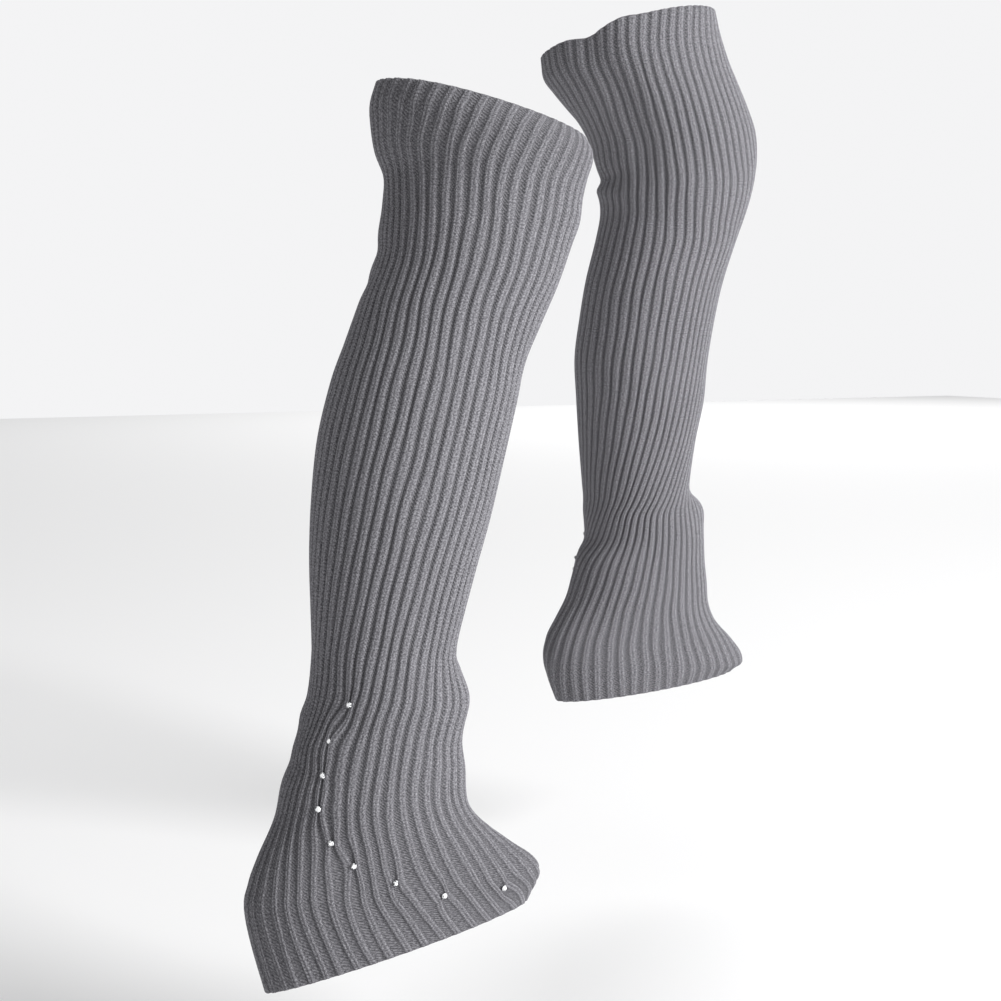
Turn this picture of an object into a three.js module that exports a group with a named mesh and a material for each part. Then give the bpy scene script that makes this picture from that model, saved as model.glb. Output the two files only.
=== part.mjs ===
// A pair of footless over-the-boot skating socks in two-by-two rib knit, each a tube filled out as it
// is worn: over the boot and its heel at the bottom, up the shin and the knee, to a turned-in top.
// Millimetres, +Z up, toes towards +X, the wearer's left towards +Y. The origin is the middle of the
// right sock's top opening, where the leg in it holds it up.

import * as THREE from 'three';

// Cloth
const WALL = 2;                 // one layer of rib knit
const WELT_WALL = 4;            // the top is turned in, so it is two layers
const CLOTH_COLOUR = 0x6d6c70;
const RING_POINTS = 40;         // corners round each ring, at even steps of cloth
const OUTLINE_STEPS = 720;      // steps along an oval when its length is measured

// Stance: where the left sock's hem is from the right one's, and how far each leg leans inwards
const STRIDE = 414;
const SPREAD = 342;
const RISE = 70;
const RIGHT_LEAN = 3.4;
const LEFT_LEAN = 4.6;

// Flat-backed glass crystals, pressed on in a curve round the outer side of the boot
const CRYSTAL_RADIUS = 2;
const CRYSTAL_GIRDLE = 0.5;     // height of the upright rim
const CRYSTAL_TABLE_RADIUS = 1.1;
const CRYSTAL_HEIGHT = 1.7;
const CRYSTAL_FACETS = 12;
const CRYSTAL_GAP = 0.4;
const CRYSTAL_COLOUR = 0xe6eaf0;

// One row for each ring of cloth, from the hem up. Forward and height place its middle, tilt lifts
// its front and roll lifts its outer side, in degrees. Depth is front to back, width side to side,
// and toe says how much wider the front half is than the back half.
const COLUMNS = ['at', 'forward', 'height', 'tilt', 'depth', 'width', 'roll', 'toe'];
const RIGHT_SECTIONS = [
  ['hem', 2, 4, 9, 198, 88, 14, 0.08],
  ['sole edge', 1, 40, -1, 217, 96, 9, 0.08],
  ['toe top', 0, 56, -3, 209, 97, 6, 0.06],
  ['vamp', -6, 72, -4, 182, 96, 4, 0.04],
  ['instep', -13, 96, -5, 142, 95, 2, 0.02],
  ['heel top', -12, 120, -7, 130, 96, 0, 0],
  ['ankle', -4, 158, -8, 114, 98, 0, 0],
  ['boot collar', 0, 178, -8, 112, 98, 0, 0],
  ['boot top', -1, 200, -8, 104, 97, 0, 0],
  ['above the boot', -3, 214, -8, 99, 97, 0, 0],
  ['lower calf', 5, 264, -8, 114, 108, 0, 0],
  ['middle calf', 13, 303, -8, 124, 116, 0, 0],
  ['full calf', 22, 344, -8, 130, 120, 0, 0],
  ['upper calf', 33, 382, -8, 130, 120, 0, 0],
  ['under the knee', 42, 408, -8, 126, 120, 0, 0],
  ['shin head', 54, 434, -8, 128, 121, 0, 0],
  ['kneecap foot', 67, 462, -8, 131, 123, 0, 0],
  ['kneecap', 76, 489, -8, 136, 126, 0, 0],
  ['kneecap head', 81, 505, -8, 140, 128, 0, 0],
  ['knee pit', 83, 522, -8, 141, 132, 0, 0],
  ['welt edge', 82, 537, -8, 151, 138, -1, 0],
  ['lower welt', 83, 551, -9, 158, 144, -3, 0],
  ['upper welt', 83, 563, -11, 159, 146, -6, 0],
  ['top', 84, 575, -14, 152, 144, -10, 0],
];
const LEFT_SECTIONS = [
  ['hem', 13, 5, 3, 206, 88, -8, 0.08],
  ['sole edge', 8, 29, -4, 226, 96, -5, 0.08],
  ['toe top', 1, 53, -4, 208, 96, -3, 0.06],
  ['vamp', -4, 73, -4, 176, 95, -1, 0.04],
  ['instep', -4, 92, -4, 155, 95, 0, 0.02],
  ['heel top', -3, 112, -4, 146, 96, 0, 0],
  ['ankle', -3, 134, -3, 136, 97, 0, 0],
  ['boot collar', 0, 161, 2, 124, 98, 0, 0],
  ['boot top', -4, 185, 4, 120, 98, 0, 0],
  ['above the boot', -12, 197, 2, 106, 97, 0, 0],
  ['ankle fold', -14, 211, 0, 106, 99, 0, 0],
  ['lower calf', -15, 252, 0, 114, 108, 0, 0],
  ['middle calf', -14, 290, 0, 124, 116, 0, 0],
  ['full calf', -15, 327, 0, 129, 119, 0, 0],
  ['upper calf', -11, 364, 0, 130, 120, 0, 0],
  ['under the knee', -5, 400, 0, 132, 120, 0, 0],
  ['shin head', 5, 437, 0, 135, 121, 0, 0],
  ['kneecap foot', 11, 460, 0, 139, 124, 0, 0],
  ['kneecap', 13, 479, 1, 147, 129, 0, 0],
  ['kneecap head', 14, 497, 4, 153, 133, 0, 0],
  ['knee bend', 12, 516, 6, 158, 137, 0, 0],
  ['above the knee', 6, 536, 7, 161, 141, 0, 0],
  ['lower thigh', -5, 554, 8, 162, 144, -1, 0],
  ['thigh', -18, 570, 10, 164, 147, -3, 0],
  ['welt edge', -31, 586, 11, 168, 149, -5, 0],
  ['lower welt', -42, 603, 13, 171, 150, -9, 0],
  ['top', -48, 623, 14, 169, 147, -13, 0],
];

// Where each crystal sits: how far up the rows, and how far round from the front over the outer side
const CRYSTAL_PLACES = [
  { row: 6.75, turn: 141 },
  { row: 5.75, turn: 150 },
  { row: 5.2, turn: 148 },
  { row: 4.45, turn: 147 },
  { row: 3.55, turn: 137 },
  { row: 2.85, turn: 125 },
  { row: 1.95, turn: 106 },
  { row: 1.0, turn: 82 },
  { row: 0.9, turn: 47 },
];

const OUTER_SIDE = { right: -1, left: 1 };

function namedRows(rows) {
  return rows.map((row) => Object.fromEntries(COLUMNS.map((column, i) => [column, row[i]])));
}

// A point of the ring's oval in its own plane, with the outward normal there.
function ovalPoint(section, angle) {
  const spread = 1 + section.toe * Math.cos(angle);
  const u = section.depth / 2 * Math.cos(angle);
  const v = section.width / 2 * Math.sin(angle) * spread;
  const normal = new THREE.Vector2(Math.cos(angle) / section.depth, Math.sin(angle) / section.width);
  return { u, v, normal: normal.normalize() };
}

// The angles that put RING_POINTS corners at even steps along the oval.
function evenAngles(section) {
  const lengths = [0];
  let before = ovalPoint(section, 0);
  for (let step = 1; step <= OUTLINE_STEPS; step += 1) {
    const here = ovalPoint(section, step / OUTLINE_STEPS * 2 * Math.PI);
    lengths.push(lengths[step - 1] + Math.hypot(here.u - before.u, here.v - before.v));
    before = here;
  }
  const total = lengths[OUTLINE_STEPS];
  const angles = [];
  let step = 0;
  for (let corner = 0; corner < RING_POINTS; corner += 1) {
    const target = total * corner / RING_POINTS;
    while (lengths[step + 1] < target) {
      step += 1;
    }
    const part = (target - lengths[step]) / (lengths[step + 1] - lengths[step]);
    angles.push((step + part) / OUTLINE_STEPS * 2 * Math.PI);
  }
  return angles;
}

// The corners of one ring, set in from its outer face by inset, placed by its tilt and roll.
function ring(section, inset, side) {
  const tilt = THREE.MathUtils.degToRad(section.tilt);
  const roll = THREE.MathUtils.degToRad(section.roll);
  const along = new THREE.Vector3(Math.cos(tilt), 0, Math.sin(tilt));
  const outwards = new THREE.Vector3(-Math.sin(roll) * Math.sin(tilt), side * Math.cos(roll),
    Math.sin(roll) * Math.cos(tilt));
  return evenAngles(section).map((angle) => {
    const { u, v, normal } = ovalPoint(section, angle);
    return new THREE.Vector3(section.forward, 0, section.height)
      .addScaledVector(along, u - inset * normal.x)
      .addScaledVector(outwards, v - inset * normal.y);
  });
}

// The rings of the sock's outer face, from the hem up, then of its inner face, from the top down.
// The turned-in welt ends inside in a ledge, so the ring there is given twice.
function clothRings(sections, side) {
  const outer = sections.map((section) => ring(section, 0, side));
  const weltEdge = sections.findIndex((section) => section.at === 'welt edge');
  const inner = [];
  sections.forEach((section, i) => {
    if (i <= weltEdge) {
      inner.push(ring(section, WALL, side));
    }
    if (i >= weltEdge) {
      inner.push(ring(section, WELT_WALL, side));
    }
  });
  return [...outer, ...inner.reverse()];
}

// A closed solid through a loop of rings: the last ring is joined to the first, at the hem.
function clothGeometry(sections, side) {
  const rings = clothRings(sections, side);
  const positions = rings.flat().flatMap((point) => point.toArray());
  const indices = [];
  rings.forEach((_, row) => {
    const low = row * RING_POINTS;
    const high = (row + 1) % rings.length * RING_POINTS;
    for (let i = 0; i < RING_POINTS; i += 1) {
      const j = (i + 1) % RING_POINTS;
      const [a, b] = side > 0 ? [i, j] : [j, i];
      indices.push(low + a, low + b, high + b);
      indices.push(low + a, high + b, high + a);
    }
  });
  const geometry = new THREE.BufferGeometry();
  geometry.setAttribute('position', new THREE.Float32BufferAttribute(positions, 3));
  geometry.setIndex(indices);
  geometry.computeVertexNormals();
  return geometry;
}

// A point of the cloth's outer face, part of the way from one ring to the next, and its normal.
function clothPoint(sections, side, place) {
  const row = Math.min(Math.floor(place.row), sections.length - 2);
  const rise = place.row - row;
  const corner = place.turn / 360 * RING_POINTS;
  const first = Math.floor(corner);
  const [below, above] = [ring(sections[row], 0, side), ring(sections[row + 1], 0, side)];
  const next = (first + 1) % RING_POINTS;
  const low = below[first].clone().lerp(below[next], corner - first);
  const high = above[first].clone().lerp(above[next], corner - first);
  const round = below[next].clone().sub(below[first]);
  const normal = round.cross(high.clone().sub(low)).multiplyScalar(side).normalize();
  return { point: low.lerp(high, rise), normal };
}

const crystalGeometry = new THREE.LatheGeometry([
  new THREE.Vector2(0, 0),
  new THREE.Vector2(CRYSTAL_RADIUS, 0),
  new THREE.Vector2(CRYSTAL_RADIUS, CRYSTAL_GIRDLE),
  new THREE.Vector2(CRYSTAL_TABLE_RADIUS, CRYSTAL_HEIGHT),
  new THREE.Vector2(0, CRYSTAL_HEIGHT),
], CRYSTAL_FACETS);
crystalGeometry.rotateX(Math.PI / 2);

const cloth = new THREE.MeshStandardMaterial({ color: CLOTH_COLOUR, roughness: 0.95, metalness: 0 });
const glass = new THREE.MeshStandardMaterial({ color: CRYSTAL_COLOUR, roughness: 0.08, metalness: 0 });

// One sock and its crystals, in a group whose own origin is the middle of the sole.
function sockGroup(leg, sections, lean) {
  const side = OUTER_SIDE[leg];
  const group = new THREE.Group();
  const tube = new THREE.Mesh(clothGeometry(sections, side), cloth);
  tube.name = `sock_${leg}`;
  group.add(tube);
  CRYSTAL_PLACES.forEach((place, i) => {
    const { point, normal } = clothPoint(sections, side, place);
    const crystal = new THREE.Mesh(crystalGeometry, glass);
    crystal.name = `crystal_${leg}_${i + 1}`;
    crystal.position.copy(point).addScaledVector(normal, CRYSTAL_GAP);
    crystal.quaternion.setFromUnitVectors(new THREE.Vector3(0, 0, 1), normal);
    group.add(crystal);
  });
  group.rotation.x = side * THREE.MathUtils.degToRad(lean);
  return group;
}

const rightSections = namedRows(RIGHT_SECTIONS);
const leftSections = namedRows(LEFT_SECTIONS);
const right = sockGroup('right', rightSections, RIGHT_LEAN);
const left = sockGroup('left', leftSections, LEFT_LEAN);

const top = rightSections[rightSections.length - 1];
right.position.set(top.forward, 0, top.height).applyEuler(right.rotation).negate();
left.position.copy(right.position).add(new THREE.Vector3(STRIDE, SPREAD, RISE));

const pair = new THREE.Group();
pair.add(right, left);

export default pair;
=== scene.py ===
import math

import bmesh
import bpy
import numpy as np
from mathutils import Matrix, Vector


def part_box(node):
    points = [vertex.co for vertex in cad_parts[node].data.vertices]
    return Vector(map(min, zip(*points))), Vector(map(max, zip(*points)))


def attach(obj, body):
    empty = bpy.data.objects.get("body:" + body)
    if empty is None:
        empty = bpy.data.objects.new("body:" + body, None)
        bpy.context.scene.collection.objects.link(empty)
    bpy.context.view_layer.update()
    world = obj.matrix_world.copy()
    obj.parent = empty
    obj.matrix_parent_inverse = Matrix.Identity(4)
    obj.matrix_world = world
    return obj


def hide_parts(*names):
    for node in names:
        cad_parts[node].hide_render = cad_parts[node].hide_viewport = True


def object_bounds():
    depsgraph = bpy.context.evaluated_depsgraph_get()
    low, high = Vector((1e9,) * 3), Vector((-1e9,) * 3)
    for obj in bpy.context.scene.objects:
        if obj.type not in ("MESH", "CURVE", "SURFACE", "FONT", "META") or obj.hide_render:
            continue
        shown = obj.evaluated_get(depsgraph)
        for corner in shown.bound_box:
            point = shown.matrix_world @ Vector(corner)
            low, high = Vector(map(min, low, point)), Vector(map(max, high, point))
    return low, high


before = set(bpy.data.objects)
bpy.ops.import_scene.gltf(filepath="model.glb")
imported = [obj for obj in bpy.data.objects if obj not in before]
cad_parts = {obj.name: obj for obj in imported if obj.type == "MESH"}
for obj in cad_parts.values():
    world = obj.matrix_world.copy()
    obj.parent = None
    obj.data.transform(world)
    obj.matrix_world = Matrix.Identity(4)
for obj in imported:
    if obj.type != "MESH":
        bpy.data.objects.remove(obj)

cad_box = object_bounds()

# The camera stands off the pair's right side and a little behind it, just under the height of the
# knees, and looks slightly down.
LOOKS_DOWN = 6
TURNED = 28
camera = bpy.data.cameras.new("camera")
camera.sensor_width = 36
camera.lens = 57.54
camera_object = bpy.data.objects.new("camera", camera)
camera_object.location = (-0.5198, -1.0039, -0.1523)
camera_object.rotation_euler = (math.radians(90 - LOOKS_DOWN), 0, math.radians(-TURNED))
bpy.context.collection.objects.link(camera_object)
bpy.context.scene.camera = camera_object
bpy.context.scene.view_settings.view_transform = "Standard"


# The studio: a pale painted floor a boot's height under the hems, a pale room, and two soft boxes.
# The key light stands to the right of the camera, so that the left side of each leg and the left
# flank of each rib are dark, and a weaker one behind the pair shows its back. The room's paper
# backdrop is lit apart from the pair, so it looks brighter than the light that it gives.
FLOOR_UNDER_HEMS = 0.085
FLOOR_HALF = 9
ROOM_LIGHT = 0.45
BACKDROP_EXTRA = 0.53


def colour(hex_code):
    """An sRGB hex colour as the linear one that a socket takes."""
    parts = [int(hex_code[i:i + 2], 16) / 255 for i in (1, 3, 5)]
    return (*(p / 12.92 if p < 0.04045 else ((p + 0.055) / 1.055) ** 2.4 for p in parts), 1)


def node(tree, kind, settings=(), **links):
    """Adds a node. Settings are its own, and links are sockets by name: a value, or what feeds it."""
    made = tree.nodes.new(kind)
    for name, value in dict(settings).items():
        setattr(made, name, value)
    for name, value in links.items():
        place = int(name[1:]) if name[0] == "n" and name[1:].isdigit() else name.replace("_", " ")
        socket = made.inputs[place]
        if isinstance(value, bpy.types.NodeSocket):
            tree.links.new(value, socket)
        else:
            socket.default_value = value
    return made


def material(name, **sockets):
    """A new material on one Principled shader with these constant sockets."""
    made = bpy.data.materials.new(name)
    made.use_nodes = True
    shader = made.node_tree.nodes["Principled BSDF"]
    for socket, value in sockets.items():
        shader.inputs[socket.replace("_", " ")].default_value = value
    return made, made.node_tree, shader


floor_bm = bmesh.new()
bmesh.ops.create_grid(floor_bm, x_segments=1, y_segments=1, size=FLOOR_HALF)
bmesh.ops.translate(floor_bm, verts=floor_bm.verts, vec=(0, 0, cad_box[0][2] - FLOOR_UNDER_HEMS))
floor_mesh = bpy.data.meshes.new("floor")
floor_bm.to_mesh(floor_mesh)
floor_bm.free()
floor = bpy.data.objects.new("floor", floor_mesh)
bpy.context.collection.objects.link(floor)
floor_paint, _, _ = material("matt_floor_paint", Base_Color=colour("#f2f2f2"), Roughness=0.8)
floor_mesh.materials.append(floor_paint)

world = bpy.data.worlds.new("room")
world.use_nodes = True
backdrop = world.node_tree.nodes["Background"]
backdrop.inputs["Color"].default_value = colour("#f6f6f7")
seen = node(world.node_tree, "ShaderNodeLightPath")
strength = node(
    world.node_tree, "ShaderNodeMath", {"operation": "MULTIPLY_ADD"},
    n0=seen.outputs["Is Camera Ray"], n1=BACKDROP_EXTRA, n2=ROOM_LIGHT)
world.node_tree.links.new(strength.outputs[0], backdrop.inputs["Strength"])
bpy.context.scene.world = world


SOFT_BOXES = (
    # place, size across in metres, and power in watts
    ("key_light", (2.57, -3.64, 1.72), 2.4, 306),
    ("back_light", (7.0, 8.0, 6.0), 5.0, 600),
)
for name, place, size, power in SOFT_BOXES:
    light = bpy.data.lights.new(name, "AREA")
    light.size = size
    light.energy = power
    box = bpy.data.objects.new(name, light)
    box.location = place
    away = np.array(place) - np.mean(cad_box, axis=0)
    box.rotation_euler = (
        math.acos(away[2] / np.linalg.norm(away)), 0, math.atan2(away[0], -away[1]))
    bpy.context.collection.objects.link(box)


# The right sock: one tube of two-by-two rib knit, 48 ribs round, in heathered grey yarn. It is
# knitted in one piece from the hem, which is bound off, to the top, which is turned in and caught
# down as a welt. It is worn over a boot, so it flares over the foot and is gripped by the leg.
RIBS = 48
RIB_COLUMNS = (
    # across the pitch, mm under the ridge tops, and the painted shade, as the share of the light kept
    # out: each shut, then open
    ("valley middle", 0.00, 0.00, 2.00, 1.50, 0.52, 0.30),
    ("valley side", 0.09, 0.18, 1.70, 1.55, 0.46, 0.38),
    ("ridge flank", 0.19, 0.28, 0.60, 1.20, 0.20, 0.50),
    ("first wale", 0.34, 0.37, 0.00, 0.00, 0.00, 0.00),
    ("wale notch", 0.50, 0.50, 0.55, 0.90, 0.28, 0.46),
    ("second wale", 0.66, 0.63, 0.00, 0.00, 0.00, 0.00),
    ("ridge flank", 0.81, 0.72, 0.60, 1.20, 0.20, 0.50),
    ("valley side", 0.91, 0.82, 1.70, 1.55, 0.46, 0.38),
)
CLOTH_THICK = 1.3
WELT_THICK = 2.4 * CLOTH_THICK
WELT_DEPTH = 43
COURSE = 2.3
OUTER_COURSES = 172
WELT_COURSES = 12
INNER_COURSES = 56
OUTLINE_STEPS = 720
# Where the cloth rolls over at an edge: share of the thickness gone through, and mm lifted there
ROLL_OVER_TOP = ((0.25, 0.9), (0.5, 1.2), (0.75, 0.9))
ROLL_UNDER_WELT = ((0.8, -1.2), (0.6, -1.2))
ROLL_UNDER_HEM = ((0.7, -0.6), (0.3, -0.6))
# Unevenness: each rib strays by a share of the pitch in two waves and swells in a third.
# The waves' lengths are in mm for each radian.
WANDER = 0.045
SHORT_WAVE = 9
LONG_WAVE = 23
LONG_WAVE_SHARE = 1.4
SWELL = 0.12
SWELL_WAVE = 14
# Round a crystal: how far the nearest valley's shift to it reaches, across and along the ribs in
# metres, then the same for the ridges beside it, and the share of their distance that they close
VALLEY_REACH = (0.014, 0.018)
RIDGE_REACH = (0.008, 0.010)
RIDGE_PULL = 0.68
MERGED = 0.00002

RIGHT_ROWS = (
    # forward, height, tilt, depth, width, roll and toe, in mm and degrees, are the solid's sections,
    # but from the heel to the boot's top they are slimmer, because a crease makes the step there.
    # In ribs, turn is how far they have wound, fan how far those at the sides have moved forward, and
    # bunch how far those at the front and back have moved inwards. Open is 0 (shut) to 1 (stretched).
    ("hem", 2, 4, 9, 198, 88, 14, 0.08, -1.3, -2.3, 1.9, 1.0),
    ("sole edge", 1, 40, -1, 217, 96, 9, 0.08, 0.4, -2.1, 0.8, 1.0),
    ("toe top", 0, 56, -3, 209, 97, 6, 0.06, 0.8, -2.1, 0.6, 0.9),
    ("vamp", -6, 72, -4, 182, 96, 4, 0.04, 0.6, -2.3, 0.9, 0.8),
    ("instep", -13, 96, -5, 142, 95, 2, 0.02, 0.3, -2.7, 1.4, 0.6),
    ("heel top", -13, 120, -7, 128, 96, 0, 0, 0.4, -2.6, 1.1, 0.4),
    ("ankle", -6.5, 158, -8, 109, 98, 0, 0, 0.2, -2.9, 1.3, 0.3),
    ("boot collar", -4.5, 178, -8, 103, 98, 0, 0, 0.3, -2.1, 1.5, 0.2),
    ("boot top", -3.5, 200, -8, 99, 97, 0, 0, 1.4, -0.2, 1.2, 0.1),
    ("above the boot", -3, 214, -8, 99, 97, 0, 0, 1.2, 0, 1.1, 0.1),
    ("lower calf", 5, 264, -8, 114, 108, 0, 0, 0.6, 0, 0.4, 0.1),
    ("middle calf", 13, 303, -8, 124, 116, 0, 0, -0.2, -0.4, 0.5, 0.1),
    ("full calf", 22, 344, -8, 130, 120, 0, 0, -0.5, -0.3, 0.3, 0.1),
    ("upper calf", 33, 382, -8, 130, 120, 0, 0, -0.7, -0.5, 0.3, 0.1),
    ("under the knee", 42, 408, -8, 126, 120, 0, 0, -0.4, -0.5, 0.2, 0.1),
    ("shin head", 54, 434, -8, 128, 121, 0, 0, 0.1, -0.7, 0.2, 0.1),
    ("kneecap foot", 67, 462, -8, 131, 123, 0, 0, -0.3, -1.4, 0.5, 0.2),
    ("kneecap", 76, 489, -8, 136, 126, 0, 0, 0.2, -1.1, 0.6, 0.3),
    ("kneecap head", 81, 505, -8, 140, 128, 0, 0, 0.5, -1, 0.8, 0.4),
    ("knee pit", 83, 522, -8, 141, 132, 0, 0, 1, -0.3, 0.9, 0.5),
    ("welt edge", 82, 537, -8, 151, 138, -1, 0, 0.7, 0, 0.9, 0.7),
    ("lower welt", 83, 551, -9, 158, 144, -3, 0, 0.6, 0.3, 0.6, 0.8),
    ("upper welt", 83, 563, -11, 159, 146, -6, 0, 0.5, 0.7, 0.6, 0.8),
    ("top", 84, 575, -14, 152, 144, -10, 0, 0.5, 1.3, 0.6, 0.8),
)
RIGHT_LEAN = -3.4
RIGHT_FOOT = (-0.0840, -0.0341, -0.5740)
# How deep the ribs are, and how much painted shade lies between them, as a share of what
# RIB_COLUMNS says. The left sock's are a little flatter, with a little less painted shade.
RIGHT_RELIEF = 1.0
# Degrees round the leg where the ribs are pulled most to and fro. On the side away from there they
# wind just as far, but ease out each swing over this many mm.
RIGHT_PULLED = 118
EASE = 80
RIGHT_CREASES = (
    # height, turn in degrees, reach across and along, how proud and how lifted, all in mm, and how
    # far the crease climbs for each mm round the leg
    ("front of the collar", 180, 14, 32, 20, 8.5, 0.0, 0.0),
    ("under the collar", 150, 60, 26, 9, -1.6, 0.0, 0.15),
    ("heel fold", 146, 150, 30, 8, 1.8, 0.0, -0.2),
    ("over the counter", 160, 205, 24, 9, 2.2, 0.0, 0.0),
    ("over the heel", 128, 185, 34, 8, -1.6, 0.0, 0.1),
    ("inside the ankle", 166, 262, 24, 8, -1.5, 0.0, 0.25),
    ("behind the knee", 470, 196, 36, 8, -1.8, 0.0, 0.1),
    ("lower knee fold", 446, 205, 30, 7, -1.4, 0.0, -0.25),
    ("inner thigh sag", 520, 285, 36, 12, -1.6, 0.0, 0.2),
    ("back of the rim", 575, 190, 40, 14, 0.6, -2.2, 0.0),
    ("inside of the rim", 570, 262, 16, 22, -2.2, -1.4, 0.0),
    ("instep swell", 132, 14, 26, 14, 2.0, 0.0, 0.0),
)


def between_rows(rows, at):
    """The rows' numbers at places between them, on a smooth curve through every row."""
    ends = np.vstack([2 * rows[0] - rows[1], rows, 2 * rows[-1] - rows[-2]])
    first = np.clip(np.floor(at).astype(int), 0, len(rows) - 2)
    t = (at - first)[:, None]
    a, b, c, d = (ends[first + k] for k in range(4))
    curve = 2 * b + (c - a) * t + (2 * a - 5 * b + 4 * c - d) * t ** 2
    return 0.5 * (curve + (3 * b - a - 3 * c + d) * t ** 3)


def knit_courses(rows):
    """The cloth's way as it is knitted and folded, as (at row, depth under the outer face, lift).

    It goes up the outer face, over the top, down the turned-in welt, and down the inner face to the
    hem again, so the courses close on themselves.
    """
    rise = np.r_[0, np.cumsum(np.hypot(np.diff(rows[:, 0]), np.diff(rows[:, 1])))]
    places = np.arange(len(rows))
    top, welt_end = rise[-1], rise[-1] - WELT_DEPTH
    up = np.interp(np.linspace(0, top, OUTER_COURSES), rise, places)
    band = np.interp(np.linspace(top, welt_end, WELT_COURSES), rise, places)
    down = np.interp(np.linspace(welt_end, 0, INNER_COURSES), rise, places)
    courses = [(at, 0, 0) for at in up]
    courses += [(up[-1], share * WELT_THICK, lift) for share, lift in ROLL_OVER_TOP]
    courses += [(at, WELT_THICK, 0) for at in band]
    courses += [(band[-1], share * WELT_THICK, lift) for share, lift in ROLL_UNDER_WELT]
    courses += [(at, CLOTH_THICK, 0) for at in down[1:]]
    courses += [(0, share * CLOTH_THICK, lift) for share, lift in ROLL_UNDER_HEM]
    courses += [(0, 0, 0)]
    return np.array(courses, float)


def wrapped_cloth(table, side, lean, foot, relief, pulled, creases):
    """Where each stitch column of each course lies on the leg, and the painted shade on it: the share
    of light kept from it.
    """
    rows = np.array([row[1:] for row in table], float)
    courses = knit_courses(rows)
    steps = between_rows(rows, courses[:, 0])
    profile = np.array([c[1:] for c in RIB_COLUMNS], float)
    number = np.arange(RIBS * len(profile) + 1)
    rib, part = number // len(profile), number % len(profile)
    outline = np.linspace(0, 2 * math.pi, OUTLINE_STEPS + 1)
    places = np.zeros((len(courses), len(number), 3))
    painted_shades = np.zeros((len(courses), len(number)))
    wander = np.random.default_rng(5).uniform(0, 2 * math.pi, (3, RIBS))
    for j, (course, step) in enumerate(zip(courses, steps)):
        forward, height, tilt, depth, width, roll, toe, turn, fan, bunch, opened = step
        u = depth / 2 * np.cos(outline)
        v = width / 2 * np.sin(outline) * (1 + toe * np.cos(outline))
        way = np.r_[0, np.cumsum(np.hypot(np.diff(u), np.diff(v)))]
        across = profile[part, 0] * (1 - opened) + profile[part, 1] * opened
        short_wave = np.sin(height / SHORT_WAVE + wander[0])
        long_wave = np.sin(height / LONG_WAVE + wander[1])
        strays = WANDER * (short_wave + LONG_WAVE_SHARE * long_wave)
        strays = np.interp(rib + across - 0.5, np.arange(RIBS), strays, period=RIBS)
        swell = 1 + SWELL * np.sin(height / SWELL_WAVE + wander[2][rib % RIBS])
        share = (rib + across + turn + strays) / RIBS
        round_leg = 2 * math.pi * share
        near = np.exp(-((rows[:, 1] - height) / EASE) ** 2)
        eased_turn, eased_fan, eased_bunch = near @ rows[:, 7:10] / near.sum()
        drawn = fan * np.sin(round_leg) + bunch * np.cos(round_leg)
        eased = eased_fan * np.sin(round_leg) + eased_bunch * np.cos(round_leg) + turn - eased_turn
        calm = np.clip(-np.cos(round_leg - math.radians(pulled)), 0, 1)
        share = share - (drawn + (eased - drawn) * calm ** 2 * (3 - 2 * calm)) / RIBS
        angle = np.interp(share % 1 * way[-1], way, outline)
        sunk = profile[part, 2] * (1 - opened) + profile[part, 3] * opened
        # Painted shade: the share of light kept from each column, by which the yarn's colour is
        # darkened.
        painted_shades[j] = relief * (profile[part, 4] * (1 - opened) + profile[part, 5] * opened)
        under = course[1] + relief * sunk * swell
        lifted = 0
        for _, at, degrees, reach, spread, proud, lift, slant in creases:
            round_it = ((share - degrees / 360 + 0.5) % 1 - 0.5) * way[-1]
            up_it = height - at - slant * round_it
            near_it = np.exp(-(round_it / reach) ** 2 - (up_it / spread) ** 2)
            under = under - proud * near_it
            lifted = lifted + lift * near_it
        u = depth / 2 * np.cos(angle)
        v = width / 2 * np.sin(angle) * (1 + toe * np.cos(angle))
        normal_u = width / 2 * (np.cos(angle) * (1 + toe * np.cos(angle)) - toe * np.sin(angle) ** 2)
        normal_v = depth / 2 * np.sin(angle)
        size = np.hypot(normal_u, normal_v)
        tilt, roll = math.radians(tilt), math.radians(roll)
        along = np.array([math.cos(tilt), 0, math.sin(tilt)])
        outwards = np.array([
            -math.sin(roll) * math.sin(tilt), side * math.cos(roll), math.sin(roll) * math.cos(tilt)])
        upwards = side * np.cross(along, outwards)
        normal = np.outer(normal_u / size, along) + np.outer(normal_v / size, outwards)
        middle = np.array([forward, 0, height]) + course[2] * upwards
        places[j] = middle + np.outer(u, along) + np.outer(v, outwards) - normal * under[:, None]
        places[j] += np.outer(lifted, upwards)
    lean = math.radians(lean)
    turned = np.array([
        [1, 0, 0], [0, math.cos(lean), -math.sin(lean)], [0, math.sin(lean), math.cos(lean)]])
    places = places @ turned.T / 1000 + np.array(foot)
    return places, painted_shades


def drawn_to_stones(places, stones):
    """The same places, with the nearest valley brought to each stone and its ridges drawn together."""
    step = len(RIB_COLUMNS)
    for stone in stones:
        course, column = np.unravel_index(
            np.argmin(np.linalg.norm(places - stone, axis=2)), places.shape[:2])
        valley = round(column / step) * step % (RIBS * step)
        sideways = places[course, valley + 1] - places[course, valley - 1]
        sideways /= np.linalg.norm(sideways)
        offset = (stone - places[course, valley]) @ sideways
        for shift, pull, (reach, spread) in ((offset, 0, VALLEY_REACH), (0, RIDGE_PULL, RIDGE_REACH)):
            away = places - stone
            across = away @ sideways
            along = np.linalg.norm(away - across[..., None] * sideways, axis=2)
            held = np.exp(-(across / reach) ** 2 - (along / spread) ** 2)
            places = places + ((shift - pull * across) * held)[..., None] * sideways
    return places


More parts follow.
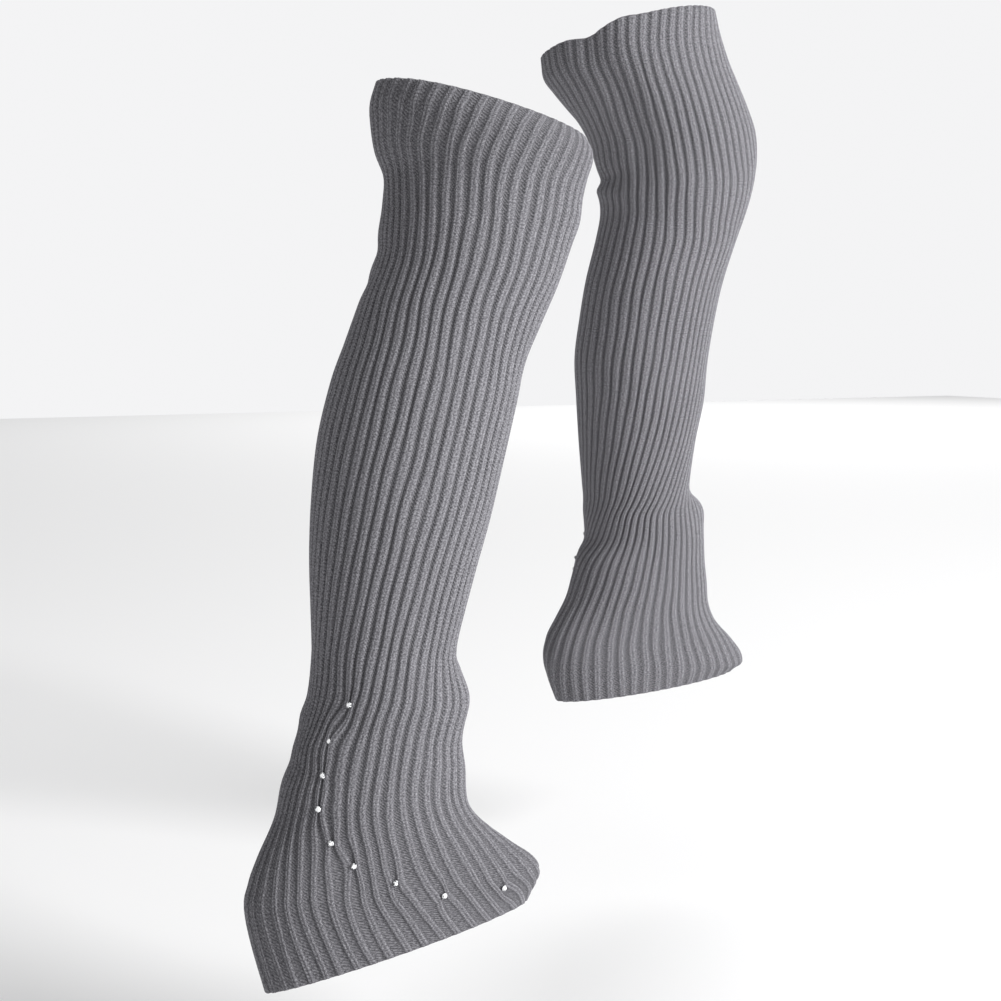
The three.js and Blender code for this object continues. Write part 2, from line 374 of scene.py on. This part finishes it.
def knit_sock(name, places, painted_shades, side):
    """One sock's mesh: a flat grid of rib, wrapped round the leg course by course."""
    columns, courses = places.shape[1] - 1, places.shape[0] - 1
    lengths = np.linalg.norm(np.diff(places, axis=0), axis=2).mean(axis=1) * 1000
    knitted = np.r_[0, np.cumsum(lengths)]
    bm = bmesh.new()
    knit = bm.loops.layers.uv.new("Knit")
    # Each corner keeps its painted shade, by which the material darkens the yarn's colour.
    painted_shade = bm.verts.layers.float.new("Shade")
    bmesh.ops.create_grid(bm, x_segments=columns, y_segments=courses, size=0.5)
    for face in bm.faces:
        for loop in face.loops:
            i = round((loop.vert.co.x + 0.5) * columns)
            j = round((loop.vert.co.y + 0.5) * courses)
            loop[knit].uv = (-side * i * 4 / len(RIB_COLUMNS), knitted[j] / COURSE)
    for vert in bm.verts:
        i = round((vert.co.x + 0.5) * columns)
        j = round((vert.co.y + 0.5) * courses)
        vert[painted_shade] = painted_shades[j, i]
        vert.co = places[j, i]
    bmesh.ops.remove_doubles(bm, verts=bm.verts, dist=MERGED)
    bmesh.ops.recalc_face_normals(bm, faces=bm.faces)
    for face in bm.faces:
        face.smooth = True
    mesh = bpy.data.meshes.new(name)
    bm.to_mesh(mesh)
    bm.free()
    piece = bpy.data.objects.new(name, mesh)
    bpy.context.collection.objects.link(piece)
    return piece


# Rib knit of heathered mid-grey acrylic and wool yarn, machine knitted and steamed: matt, with a
# faint nap that catches light at grazing angles. The two knit wales of a rib stand up in columns of
# V-shaped stitches one course (2.3 mm) high, and the purl wales show slanting bars in the valleys.
# Real flecks of heather and real purl bars are too fine to show from here, so both are drawn as
# coarse as they need to show: the flecks about half a wale (1 mm) across, the bars one to a course.
# The yarn's colour also carries painted light and shade: lighter on the stitches' raised parts, darker
# between them and in the rib's valleys and notches.
V_SLOPE = 1.3
V_DEPTH = 0.3
BAR_SLOPE = -0.85
BAR_WANDER = 0.9
FUZZ_HEIGHT = 2.0
rib_knit, knit_tree, knit_shader = material(
    "heathered_wool_rib", Roughness=0.95, Specular_IOR_Level=0.2, Sheen_Weight=0.2,
    Sheen_Roughness=0.5, Sheen_Tint=colour("#b9b8be"))
uv = node(knit_tree, "ShaderNodeUVMap", {"uv_map": "Knit"})
across_along = node(knit_tree, "ShaderNodeSeparateXYZ", Vector=uv.outputs["UV"])
wale = across_along.outputs["X"]
course = across_along.outputs["Y"]

heather = node(
    knit_tree, "ShaderNodeTexNoise", {"noise_dimensions": "2D"},
    Vector=uv.outputs["UV"], Scale=1.9, Detail=2.0, Roughness=0.6)

wale_round = node(knit_tree, "ShaderNodeMath", {"operation": "MULTIPLY"}, n0=wale, n1=math.pi / 2)
valley_wave = node(knit_tree, "ShaderNodeMath", {"operation": "COSINE"}, n0=wale_round.outputs[0])
in_valley = node(
    knit_tree, "ShaderNodeMapRange", {"interpolation_type": "SMOOTHSTEP"},
    Value=valley_wave.outputs[0], From_Min=-0.3, From_Max=0.4)

wale_part = node(knit_tree, "ShaderNodeMath", {"operation": "FRACT"}, n0=wale)
off_middle = node(
    knit_tree, "ShaderNodeMath", {"operation": "SUBTRACT"}, n0=wale_part.outputs[0], n1=0.5)
leg_of_v = node(knit_tree, "ShaderNodeMath", {"operation": "ABSOLUTE"}, n0=off_middle.outputs[0])
v_rise = node(
    knit_tree, "ShaderNodeMath", {"operation": "MULTIPLY_ADD"},
    n0=leg_of_v.outputs[0], n1=V_SLOPE, n2=course)
v_round = node(
    knit_tree, "ShaderNodeMath", {"operation": "MULTIPLY"}, n0=v_rise.outputs[0], n1=2 * math.pi)
v_stitch = node(knit_tree, "ShaderNodeMath", {"operation": "COSINE"}, n0=v_round.outputs[0])

soft_v = node(
    knit_tree, "ShaderNodeMath", {"operation": "MULTIPLY"}, n0=v_stitch.outputs[0], n1=V_DEPTH)

bar_course = node(
    knit_tree, "ShaderNodeMath", {"operation": "MULTIPLY_ADD"},
    n0=heather.outputs["Fac"], n1=BAR_WANDER, n2=course)
bar_rise = node(
    knit_tree, "ShaderNodeMath", {"operation": "MULTIPLY_ADD"},
    n0=wale, n1=BAR_SLOPE, n2=bar_course.outputs[0])
bar_round = node(
    knit_tree, "ShaderNodeMath", {"operation": "MULTIPLY"}, n0=bar_rise.outputs[0], n1=2 * math.pi)
purl_bar = node(knit_tree, "ShaderNodeMath", {"operation": "COSINE"}, n0=bar_round.outputs[0])

stitches = node(
    knit_tree, "ShaderNodeMix", {"data_type": "FLOAT"},
    n0=in_valley.outputs[0], n2=soft_v.outputs[0], n3=purl_bar.outputs[0])
fuzz = node(
    knit_tree, "ShaderNodeTexNoise", {"noise_dimensions": "2D"},
    Vector=uv.outputs["UV"], Scale=1.3, Detail=3.0, Roughness=0.65)
relief = node(
    knit_tree, "ShaderNodeMath", {"operation": "MULTIPLY_ADD"},
    n0=fuzz.outputs["Fac"], n1=FUZZ_HEIGHT, n2=stitches.outputs[0])
bump = node(knit_tree, "ShaderNodeBump", Strength=0.8, Distance=0.0003, Height=relief.outputs[0])
knit_tree.links.new(bump.outputs["Normal"], knit_shader.inputs["Normal"])

blotches = node(
    knit_tree, "ShaderNodeMapRange", Value=heather.outputs["Fac"], From_Min=0.35, From_Max=0.65)
yarn = node(
    knit_tree, "ShaderNodeMix", {"data_type": "RGBA"},
    n0=blotches.outputs[0], n6=colour("#69686d"), n7=colour("#9c9ba0"))
# Painted light and shade on the stitches: the yarn's colour is lighter where the V stitches and purl
# bars stand up, and darker between them.
painted_stitch_light = node(
    knit_tree, "ShaderNodeMapRange", Value=stitches.outputs[0],
    From_Min=-1.0, From_Max=1.0, To_Min=0.7, To_Max=1.2)
# Painted shade from the mesh: the yarn's colour is darkened in the rib's valleys and notches.
painted_shade = node(knit_tree, "ShaderNodeAttribute", {"attribute_name": "Shade"})
let_in = node(
    knit_tree, "ShaderNodeMath", {"operation": "SUBTRACT"}, n0=1.0, n1=painted_shade.outputs["Fac"])
painted_light = node(
    knit_tree, "ShaderNodeMath", {"operation": "MULTIPLY"},
    n0=painted_stitch_light.outputs[0], n1=let_in.outputs[0])
yarn_with_painted_light = node(
    knit_tree, "ShaderNodeVectorMath", {"operation": "SCALE"},
    n0=yarn.outputs[2], Scale=painted_light.outputs[0])
knit_tree.links.new(yarn_with_painted_light.outputs[0], knit_shader.inputs["Base Color"])

right_stones = [
    np.mean(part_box(name), axis=0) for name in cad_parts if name.startswith("crystal_right")]
right_places, right_painted_shades = wrapped_cloth(
    RIGHT_ROWS, -1, RIGHT_LEAN, RIGHT_FOOT, RIGHT_RELIEF, RIGHT_PULLED, RIGHT_CREASES)
right_places = drawn_to_stones(right_places, right_stones)
right_sock = knit_sock("right_sock", right_places, right_painted_shades, -1)
right_sock.data.materials.append(rib_knit)
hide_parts("sock_right")
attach(right_sock, "root")


# The left sock: the same tube on the other leg, which is ahead and bent at the knee. Its ribs wind
# round the ankle, and its welt sits higher up the thigh.
LEFT_ROWS = (
    # forward, height, tilt, depth, width, roll, toe, turn, fan, bunch and open, as for the right
    # sock; here the hem is also a little higher and more tilted than the solid's
    ("hem", 13, 6.5, 4.6, 206, 88, -8, 0.08, -6.6, -0.4, -1.9, 0.6),
    ("sole edge", 8, 29, -4, 226, 96, -5, 0.08, -6, -0.9, -1.5, 0.55),
    ("toe top", 1, 53, -4, 208, 96, -3, 0.06, -5.6, -1.2, -1.5, 0.45),
    ("vamp", -4, 73, -4, 176, 95, -1, 0.04, -5.4, -1.1, -1.8, 0.4),
    ("instep", -4, 92, -4, 155, 95, 0, 0.02, -5.7, -0.8, -1.6, 0.3),
    ("heel top", -3, 112, -4, 146, 96, 0, 0, -6.1, -0.2, -1.1, 0.25),
    ("ankle", -3, 134, -3, 136, 97, 0, 0, -6.1, -0.1, -0.6, 0.2),
    ("boot collar", -1.5, 161, 2, 121, 98, 0, 0, -5.4, -1, 0, 0.1),
    ("boot top", -9, 185, 4, 111, 98, 0, 0, -4, -1.4, 0.5, 0.05),
    ("above the boot", -12, 197, 2, 106, 97, 0, 0, -3.4, -0.7, 0.5, 0.05),
    ("ankle fold", -14, 211, 0, 106, 99, 0, 0, -3, 0, 0.4, 0.05),
    ("lower calf", -15, 252, 0, 114, 108, 0, 0, -2.2, 0.9, 0.3, 0.05),
    ("middle calf", -14, 290, 0, 124, 116, 0, 0, -2.1, 1.3, 0.7, 0.05),
    ("full calf", -15, 327, 0, 129, 119, 0, 0, -1.8, 1.8, 0.5, 0.05),
    ("upper calf", -11, 364, 0, 130, 120, 0, 0, -1.8, 1.9, 0.4, 0.05),
    ("under the knee", -5, 400, 0, 132, 120, 0, 0, -1.5, 1.6, 0.1, 0.05),
    ("shin head", 5, 437, 0, 135, 121, 0, 0, -0.9, 0.9, -0.5, 0.05),
    ("kneecap foot", 11, 460, 0, 139, 124, 0, 0, -0.9, 0.2, -0.4, 0.1),
    ("kneecap", 13, 479, 1, 147, 129, 0, 0, -0.8, -0.2, -0.4, 0.1),
    ("kneecap head", 14, 497, 4, 153, 133, 0, 0, -0.9, -0.4, -0.1, 0.15),
    ("knee bend", 12, 516, 6, 158, 137, 0, 0, -1.5, -0.2, 0.5, 0.2),
    ("above the knee", 6, 536, 7, 161, 141, 0, 0, -1.4, -0.4, 0.8, 0.2),
    ("lower thigh", -5, 554, 8, 162, 144, -1, 0, -1.1, -0.4, 0.9, 0.2),
    ("thigh", -18, 570, 10, 164, 147, -3, 0, -0.7, -0.3, 1.1, 0.2),
    ("welt edge", -31, 586, 11, 168, 149, -5, 0, -0.2, -0.3, 1.1, 0.25),
    ("lower welt", -42, 603, 13, 171, 150, -9, 0, 0.2, -0.1, 0.8, 0.3),
    ("top", -48, 623, 14, 169, 147, -13, 0, 0.6, 0.4, 0.3, 0.35),
)
LEFT_LEAN = 4.6
LEFT_FOOT = (0.3300, 0.3079, -0.5040)
LEFT_RELIEF = 0.9
LEFT_PULLED = 242
LEFT_CREASES = (
    # height, turn, reach across and along, how proud, how lifted, and climb, as for the right sock
    ("front of the collar", 180, 2, 34, 15, 10.5, 0.0, 0.0),
    ("dent in the welt", 612, 213, 15, 26, -4.5, -5.5, 0.0),
    ("under the dent", 578, 222, 12, 26, -3.0, 0.0, 0.0),
    ("beside the dent", 612, 239, 12, 24, 1.0, 2.2, 0.0),
    ("knee hollow", 535, 216, 15, 55, -3.5, 0.0, 0.0),
    ("knee pit fold", 500, 172, 38, 7, -3.2, 0.0, 0.15),
    ("under the knee pit", 484, 166, 38, 7, 2.4, 0.0, -0.05),
    ("front of the rim", 623, 325, 55, 26, 0.0, -2.2, 0.0),
    ("outer knee fold", 498, 130, 34, 10, -1.8, 0.0, 0.2),
    ("outer ankle fold", 198, 110, 30, 8, -2.0, 0.0, -0.2),
    ("back of the ankle", 172, 190, 36, 12, 1.2, 0.0, 0.1),
    ("over the heel", 150, 160, 30, 8, -1.6, 0.0, 0.15),
    ("toe cap", 40, 352, 20, 10, 2.5, 0.0, 0.0),
    ("toe turned under", 6, 354, 22, 9, -4.5, 0.0, 0.0),
)
left_stones = [
    np.mean(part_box(name), axis=0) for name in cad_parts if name.startswith("crystal_left")]
left_places, left_painted_shades = wrapped_cloth(
    LEFT_ROWS, 1, LEFT_LEAN, LEFT_FOOT, LEFT_RELIEF, LEFT_PULLED, LEFT_CREASES)
left_places = drawn_to_stones(left_places, left_stones)
left_sock = knit_sock("left_sock", left_places, left_painted_shades, 1)
left_sock.data.materials.append(rib_knit)
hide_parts("sock_left")
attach(left_sock, "root")


# The crystals: flat-backed cut glass stones, 4 mm across and silvered behind, glued to the cloth
# down the outer side of each boot. Their facets are painted with light: some near white as a
# painted glint, and some dark grey as painted shade.
painted_glint_glass, _, _ = material(
    "cut_glass_painted_glint", Base_Color=colour("#fdfeff"), Roughness=0.05, Specular_IOR_Level=1.0,
    Coat_Weight=1.0, Coat_Roughness=0.02)
painted_shade_glass, _, _ = material(
    "cut_glass_painted_shade", Base_Color=colour("#34363b"), Roughness=0.05, Specular_IOR_Level=1.0,
    Coat_Weight=1.0, Coat_Roughness=0.02)
# How squarely a facet faces out from the cloth. Under the first it is the rim, which gets the painted
# shade, and over the second it is the flat table, which gets the painted glint. Those between get
# the painted shade by chance.
RIM_FACET = 0.3
TABLE_FACET = 0.9
PAINTED_SHADE_SHARE = 0.35
glints = np.random.default_rng(11)
for name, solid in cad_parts.items():
    if name.startswith("crystal"):
        solid.data.materials.clear()
        solid.data.materials.append(painted_glint_glass)
        solid.data.materials.append(painted_shade_glass)
        corners = np.array([corner.co for corner in solid.data.vertices])
        axis = np.linalg.svd(corners - corners.mean(axis=0))[2][2]
        for facet in solid.data.polygons:
            flat = abs(np.array(facet.normal) @ axis)
            facet.material_index = int(
                flat < RIM_FACET or (flat < TABLE_FACET and glints.random() < PAINTED_SHADE_SHARE))
